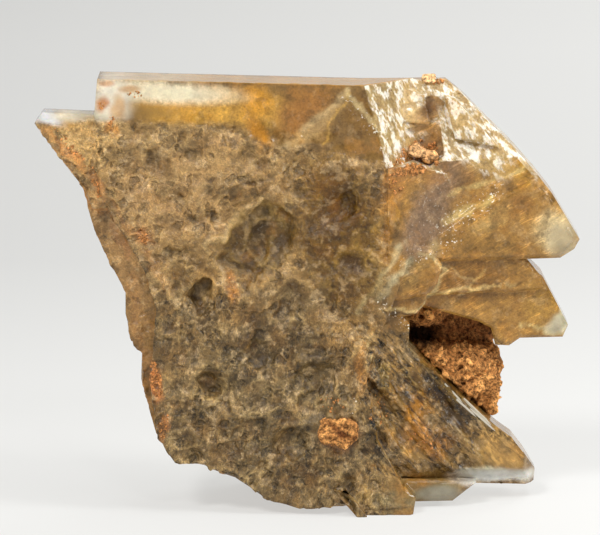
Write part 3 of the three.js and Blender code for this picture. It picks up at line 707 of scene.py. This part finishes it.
# The pits are dents and the growth lines and facets' patches are ridges, all 0.12 mm high
skin_height = add(gorgeyite, "Math", [pit_floor, -1.6], operation="MULTIPLY")[0]
skin_height = add(gorgeyite, "Math", [skin_height, skin_part, both], operation="MULTIPLY_ADD")[0]
etch_bump = add(gorgeyite, "Bump", Height=skin_height, Distance=BUMP_HEIGHT,
                Strength=add(gorgeyite, "MapRange", [polish_part, 0, 1, 0.8, 0.08])[0])[0]
line_height = add(gorgeyite, "Math", [painted_sheen, facet_part], operation="MULTIPLY")[0]
for lines, finish in ((rising_lines, rising_part), (falling_lines, falling_part)):
    line_height = add(gorgeyite, "Math", [lines, finish, line_height], operation="MULTIPLY_ADD")[0]
line_bump = add(gorgeyite, "Bump", Height=line_height, Normal=etch_bump, Strength=0.5,
                Distance=BUMP_HEIGHT)[0]
surface = gorgeyite.node_tree.nodes["Principled BSDF"]
for name, source in (("Base Color", colour), ("Transmission Weight", clear_part),
                     ("Roughness", add(gorgeyite, "MapRange", [polish_part, 0, 1, 0.36, 0.12])[0]),
                     ("Normal", line_bump)):
    gorgeyite.node_tree.links.new(source, surface.inputs[name])
for name, value in (("IOR", GORGEYITE_INDEX), ("Specular IOR Level", 0.3), ("Subsurface Weight", 0.2),
                    ("Subsurface Radius", (1.0, 0.62, 0.3)), ("Subsurface Scale", 0.6 * MM)):
    surface.inputs[name].default_value = value
crystals.data.materials.append(gorgeyite)
smooth_shade(crystals, 38)
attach(crystals, "root")
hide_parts("crystal_group")

# The clay: brown, dry and crumbly, with pores between its grains. It was mud that the crystals grew
# in, and it still clings in the cleft and in the hollows.
CLAY_STEP = 0.22
CLOD_WIDTH, CRUMB_WIDTH, GRIT_WIDTH, PORE_WIDTH = 1.5, 0.8, 0.42, 0.9
CLOD_HEIGHT, CRUMB_HEIGHT, GRIT_HEIGHT, PORE_DEPTH = 0.35, 0.42, 0.2, 0.9
CLAY_ORANGE = "#ffba6c"
CLAY_NODES = {
    "clay_matrix": "cleft_clay", "clay_patch_front": "front_clay",
    "clay_patch_recess": "recess_clay", "clay_patch_top": "top_clay",
}
# Dry ferruginous clay, broken: dull orange-brown, very rough, with painted shade in its pores. The noise
# that makes its bump also makes its colour lighter on the grains and darker between them: grain tone and
# painted light and shade
clay = bpy.data.materials.new("dry_clay_broken")
clay.use_nodes = True
where = add(clay, "TexCoord")["Object"]
clay_noise = add(clay, "TexNoise", [where], Scale=3600.0, Detail=5.0, Roughness=0.65)[0]
clay_painted_shading = add(clay, "MapRange", [clay_noise, 0.38, 0.63, 0.3, 1.95])[0]
clay_tint = add(clay, "Attribute", attribute_name="tint")["Color"]
clay_colour = add(clay, "VectorMath", {0: clay_tint, "Scale": clay_painted_shading}, operation="SCALE")[0]
clay_bump = add(clay, "Bump", Height=clay_noise, Strength=1.0, Distance=0.3 * MM)[0]
surface = clay.node_tree.nodes["Principled BSDF"]
clay.node_tree.links.new(clay_colour, surface.inputs["Base Color"])
clay.node_tree.links.new(clay_bump, surface.inputs["Normal"])
surface.inputs["Roughness"].default_value = 0.92
surface.inputs["Specular IOR Level"].default_value = 0.25

for node, name in CLAY_NODES.items():
    lump = copy_of(node, name)
    mesh = lump.data
    shape = bmesh.new()
    shape.from_mesh(mesh)
    refine(shape, lambda middle, normal: CLAY_STEP)
    smooth_points(shape, shape.verts, rounds=3 if node == "clay_matrix" else 9)
    shape.normal_update()
    shape.to_mesh(mesh)
    shape.free()
    place, normal = read_points(mesh)
    x, y, z = place.T
    warp = drift(place, 0.8, 111)
    clod = etch(place + 0.4 * warp, CLOD_WIDTH, 71, 1.2)[0]
    crumb = etch(place + 0.3 * warp, CRUMB_WIDTH, 75, 1.1)[0]
    grit = etch(place + 0.2 * warp, GRIT_WIDTH, 79, 1.0)[0]
    pore = etch(place * [1, 1, 1.7] + 0.4 * warp, PORE_WIDTH, 83, 0.55)[0]
    swell = CLOD_HEIGHT * clod + CRUMB_HEIGHT * crumb + GRIT_HEIGHT * grit - PORE_DEPTH * pore
    # The patches are thin, so their clods are low, lowest on top and highest in the recess
    if node != "clay_matrix":
        swell = 0.35 * swell - 0.05 + 0.4 * clouds(place, 1.1, 87)
    if node == "clay_patch_top":
        swell = 0.4 * swell
    if node == "clay_patch_recess":
        swell = 1.9 * swell + 0.1
    moved = np.clip(place + normal * swell[:, None], box_low, box_high)
    mesh.vertices.foreach_set("co", (moved * MM).ravel())
    mesh.update()
    tint = np.tile(linear(CLAY_ORANGE), (len(place), 1))
    # Painted shade darkens the clay between its clods and crumbs and in its pores, and painted light
    # makes the grit on the crumbs paler
    stain((1 - crumb) * (1 - clod), "#7a4520", 0.7)
    stain(grit * crumb, "#eab277", 0.6)
    stain(pore, "#351a0c", 0.85)
    # Painted shade darkens the clay under the cleft's roof; it is paler in the recess and on top;
    # painted shade makes the hole nearly black and the groove dark
    stain(ramp(14.2, 15.4, z) * ramp(-1, 1, y) * (z < 25), "#7a4424", 0.6)
    stain(ramp(35, 36, z), "#f0c088", 0.8)
    stain(ramp(30, 31, z), "#f7cf9a", 0.4)
    stain(near_spot(x, z, (10.6, 15.3, 1.9, 1.1, 0)), "#1c0e06", 0.9)
    stain(near_line(x, z, ((2.0, 8.9), (3.0, 7.9)), 0.5)
          + near_line(x, z, ((3.0, 7.9), (4.2, 7.6)), 0.4), "#6a3d1c", 0.85)
    paint(mesh)
    mesh.materials.append(clay)
    smooth_shade(lump, 50)
    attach(lump, "root")
    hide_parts(node)

# Crumbs of the same clay, 0.1 to 0.6 mm, caught in the relief: too small to be solids. They are
# stuck where they dried, each half sunk into the surface that a line from the front meets.
# Where they gather: X, Z, half width, half height and turn of the spot, how many, biggest radius
CRUMB_SPOTS = [
    (-15.3, 26.2, 0.5, 0.8, 30, 16, 0.24),
    (-14.0, 12.8, 0.5, 1.7, 8, 46, 0.26),
    (-13.3, 8.4, 0.4, 1.2, -10, 22, 0.22),
    (-21.6, 34.2, 0.3, 2.4, 40, 26, 0.2),
    (-19.4, 31.0, 0.3, 1.6, 15, 18, 0.2),
    (-18.8, 38.2, 0.35, 0.4, 0, 10, 0.22),
    (-15.8, 39.2, 0.9, 0.3, 0, 12, 0.18),
    (-17.9, 36.6, 0.4, 0.7, 0, 12, 0.2),
    (9.6, 32.9, 2.0, 1.2, 20, 90, 0.3),
    (10.3, 33.2, 1.9, 1.3, 0, 70, 0.34),
    (8.2, 31.4, 0.9, 1.4, -10, 34, 0.24),
    (3.0, 7.7, 1.7, 1.1, 30, 60, 0.28),
    (2.2, 10.6, 1.2, 0.8, 0, 20, 0.2),
    (11.3, 17.6, 1.6, 1.4, 0, 60, 0.32),
    (10.6, 6.4, 1.4, 0.8, -20, 26, 0.22),
    (6.6, 9.6, 1.0, 1.6, 20, 18, 0.2),
    (-7.0, 21.6, 0.3, 1.2, 10, 10, 0.16),
    (11.9, 40.0, 0.7, 0.5, 0, 22, 0.26),
]
surface_tree = BVHTree.FromObject(crystals, bpy.context.evaluated_depsgraph_get())
crumbs_shape = bmesh.new()
for number, crumb_spot in enumerate(CRUMB_SPOTS):
    spot_x, spot_z, half_width, half_height, turn, how_many, biggest = crumb_spot
    cos, sin = math.cos(math.radians(turn)), math.sin(math.radians(turn))
    for k in range(how_many):
        far, around, big, wave_x, wave_z = (
            float(scatter(number, k, 3, seed)) for seed in (121, 122, 123, 124, 125))
        reach, angle = math.sqrt(far), 2 * math.pi * around
        u, v = half_width * reach * math.cos(angle), half_height * reach * math.sin(angle)
        start = Vector((spot_x + u * cos - v * sin, -30, spot_z + u * sin + v * cos)) * MM
        hit, hit_normal, _, _ = surface_tree.ray_cast(start, Vector((0, 1, 0)))
        if hit is None:
            continue
        radius = 0.8 * biggest * (0.3 + 0.7 * big * big) * MM
        made = bmesh.ops.create_icosphere(crumbs_shape, subdivisions=2, radius=radius)
        for vertex in made["verts"]:
            direction = vertex.co.normalized()
            wave = math.sin(5 * direction.x + 9 * wave_x) * math.sin(6 * direction.z + 9 * wave_z)
            squashed = vertex.co * (1 + 0.45 * wave) - hit_normal * vertex.co.dot(hit_normal) * 0.6
            vertex.co = hit + squashed
            inside = np.clip(np.array(vertex.co) / MM, box_low, box_high)
            vertex.co = Vector(inside) * MM
crumbs_mesh = bpy.data.meshes.new("clay_crumbs")
crumbs_shape.to_mesh(crumbs_mesh)
crumbs_shape.free()
crumbs = bpy.data.objects.new("clay_crumbs", crumbs_mesh)
bpy.context.scene.collection.objects.link(crumbs)
count = len(crumbs_mesh.vertices)
tint = np.tile(linear("#c98a50"), (count, 1))
tint *= (1 + 0.35 * scatter(np.arange(count) // 42, 1, 1, 131) - 0.15)[:, None]
paint(crumbs_mesh)
crumbs_mesh.materials.append(clay)
for face in crumbs_mesh.polygons:
    face.use_smooth = True
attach(crumbs, "root")

# Splinters: thin glassy needles of the same crystal, grown along the crest of the lower point. They
# are joined to it at their foot.
# Each one: its two ends in X and Z, and its thickness
SPLINTERS = [
    ((14.4, 10.1), (17.0, 7.5), 0.26), ((15.0, 9.2), (17.4, 6.9), 0.2), ((13.7, 10.2), (15.6, 8.4), 0.2),
    ((15.9, 8.9), (17.8, 7.1), 0.16), ((12.6, 11.8), (14.3, 9.8), 0.18),
]
TIP_SHARE = 0.2  # how much of a needle's length is its tapered end
needles = []
for (foot_x, foot_z), (tip_x, tip_z), thick in SPLINTERS:
    foot, tip = (surface_tree.ray_cast(Vector((u, -30, v)) * MM, Vector((0, 1, 0)))[0]
                 for u, v in ((foot_x, foot_z), (tip_x, tip_z)))
    if foot is None or tip is None:
        continue
    foot += Vector((0, 0.04, 0)) * MM
    along = tip + Vector((0, -0.06, 0)) * MM - foot
    bpy.ops.object.select_all(action="DESELECT")
    bpy.ops.mesh.primitive_cylinder_add(vertices=5, radius=thick * MM / 2,
                                        depth=(1 - TIP_SHARE) * along.length)
    made = bpy.context.object
    bpy.ops.object.mode_set(mode="EDIT")
    bpy.ops.mesh.select_all(action="DESELECT")
    shape = bmesh.from_edit_mesh(made.data)
    for face in shape.faces:
        face.select_set(face.normal.z > 0.9)
    bmesh.update_edit_mesh(made.data)
    bpy.ops.mesh.extrude_region_move(
        TRANSFORM_OT_translate={"value": (0, 0, TIP_SHARE * along.length)})
    bpy.ops.transform.resize(value=(0.15, 0.15, 1), center_override=(0, 0, 0))
    bpy.ops.object.mode_set(mode="OBJECT")
    made.location = foot + along * (1 - TIP_SHARE) / 2
    made.rotation_euler = along.to_track_quat("Z", "Y").to_euler()
    bpy.ops.object.transform_apply(location=True, rotation=True, scale=True)
    needles.append(made)
bpy.ops.object.select_all(action="DESELECT")
for made in needles:
    made.select_set(True)
bpy.context.view_layer.objects.active = needles[0]
bpy.ops.object.join()
splinters = bpy.context.object
splinters.name = splinters.data.name = "splinters"
# The same crystal where it is clear: nearly colourless glass with an index of 1.57
needle = bpy.data.materials.new("gorgeyite_clear")
needle.use_nodes = True
surface = needle.node_tree.nodes["Principled BSDF"]
surface.inputs["Base Color"].default_value = (*linear("#efe6d2"), 1)
surface.inputs["Roughness"].default_value = 0.12
surface.inputs["IOR"].default_value = GORGEYITE_INDEX
surface.inputs["Transmission Weight"].default_value = 0.4
splinters.data.materials.append(needle)
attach(splinters, "root")

# The stage: a pale sheet that runs back and up behind the specimen
SHEET_WIDTH, SHEET_FRONT, SHEET_BACK, SHEET_HEIGHT, SHEET_BEND = 2.4, -1.2, 0.95, 1.3, 0.4
bpy.ops.object.select_all(action="DESELECT")
bpy.ops.mesh.primitive_plane_add(size=1, location=(0, (SHEET_FRONT + SHEET_BACK) / 2, 0))
backdrop = bpy.context.object
backdrop.name = "backdrop"
backdrop.scale = (SHEET_WIDTH, SHEET_BACK - SHEET_FRONT, 1)
bpy.ops.object.transform_apply(location=True, rotation=True, scale=True)
bpy.ops.object.mode_set(mode="EDIT")


def select_back_edge():
    """Selects the edges that lie on the floor along the sheet's back."""
    bpy.ops.mesh.select_all(action="DESELECT")
    sheet = bmesh.from_edit_mesh(backdrop.data)
    for edge in sheet.edges:
        edge.select_set(all(v.co.y > SHEET_BACK - 0.01 and v.co.z < 0.01 for v in edge.verts))
    bmesh.update_edit_mesh(backdrop.data)


bpy.ops.mesh.select_mode(type="EDGE")
select_back_edge()
bpy.ops.mesh.extrude_region_move(TRANSFORM_OT_translate={"value": (0, 0, SHEET_HEIGHT)})
select_back_edge()
bpy.ops.mesh.bevel(offset=SHEET_BEND, segments=12, affect="EDGES")
bpy.ops.mesh.select_mode(type="VERT")
bpy.ops.object.mode_set(mode="OBJECT")
bpy.ops.object.shade_smooth()
paper = bpy.data.materials.new("white_paper_matt")
paper.use_nodes = True
surface = paper.node_tree.nodes["Principled BSDF"]
surface.inputs["Base Color"].default_value = (0.3, 0.3, 0.294, 1)
surface.inputs["Roughness"].default_value = 0.9
# The sheet glows with painted light: most near the specimen and to the right, least far back
spot = add(paper, "SeparateXYZ", [add(paper, "TexCoord")["Object"]])
across = add(paper, "MapRange", [spot[0], -0.06, 0.06, -0.04, 0.08])[0]
nearer = add(paper, "MapRange", [spot[1], 0.0, 0.13, 0.51, 0.37])[0]
farther = add(paper, "MapRange", [spot[1], 0.15, 0.34, 0.0, 0.04])[0]
painted_glow = add(paper, "Math", [nearer, across], operation="ADD")[0]
painted_glow = add(paper, "Math", [painted_glow, farther], operation="ADD")[0]
paper.node_tree.links.new(painted_glow, surface.inputs["Emission Strength"])
surface.inputs["Emission Color"].default_value = (1, 1, 0.98, 1)
backdrop.data.materials.append(paper)


def softbox(name, position, target, size, watts):
    """A soft lamp: an area light aimed at target."""
    lamp = bpy.data.lights.new(name, "AREA")
    lamp.shape = "RECTANGLE"
    lamp.size, lamp.size_y = size
    lamp.energy = watts
    lit = bpy.data.objects.new(name, lamp)
    lit.location = position
    lit.rotation_euler = (Vector(target) - Vector(position)).to_track_quat("-Z", "Y").to_euler()
    bpy.context.scene.collection.objects.link(lit)


MIDDLE = (0, 0, 0.02)
softbox("key_above_left", (-0.25, -0.42, 0.5), MIDDLE, (0.14, 0.14), 2.3)
softbox("glint_above_front", (0.13, -0.5, 0.43), MIDDLE, (0.1, 0.07), 0.45)
softbox("side_right", (0.46, -0.18, 0.3), MIDDLE, (0.14, 0.16), 1.4)
softbox("back_right", (0.26, 0.36, 0.5), (0.08, 0.36, 0), (0.3, 0.3), 0.8)
softbox("overhead", (0.14, -0.1, 0.6), (0.1, -0.05, 0), (0.3, 0.3), 0.8)
world = bpy.data.worlds.new("studio")
world.use_nodes = True
world.node_tree.nodes["Background"].inputs["Color"].default_value = (1, 0.99, 0.96, 1)
world.node_tree.nodes["Background"].inputs["Strength"].default_value = 0.36
bpy.context.scene.world = world
bpy.context.scene.view_settings.view_transform = "Standard"

# The camera looks along +Y and 10 degrees down, from far off, with a long lens
CAMERA_TARGET = Vector((-0.8, 0, 22.0)) * MM
CAMERA_DISTANCE = 400 * MM
CAMERA_DOWN = math.radians(10)
PICTURE_WIDTH = 55.87 * MM  # what the picture's width takes in at the target
SENSOR = 36.0
camera_data = bpy.data.cameras.new("camera")
camera_data.sensor_width = SENSOR
camera_data.lens = SENSOR * CAMERA_DISTANCE / PICTURE_WIDTH
camera_data.clip_start = 0.01
camera = bpy.data.objects.new("camera", camera_data)
away = Vector((0, math.cos(CAMERA_DOWN), -math.sin(CAMERA_DOWN)))
camera.location = CAMERA_TARGET - away * CAMERA_DISTANCE
camera.rotation_euler = away.to_track_quat("-Z", "Y").to_euler()
bpy.context.scene.collection.objects.link(camera)
bpy.context.scene.camera = camera
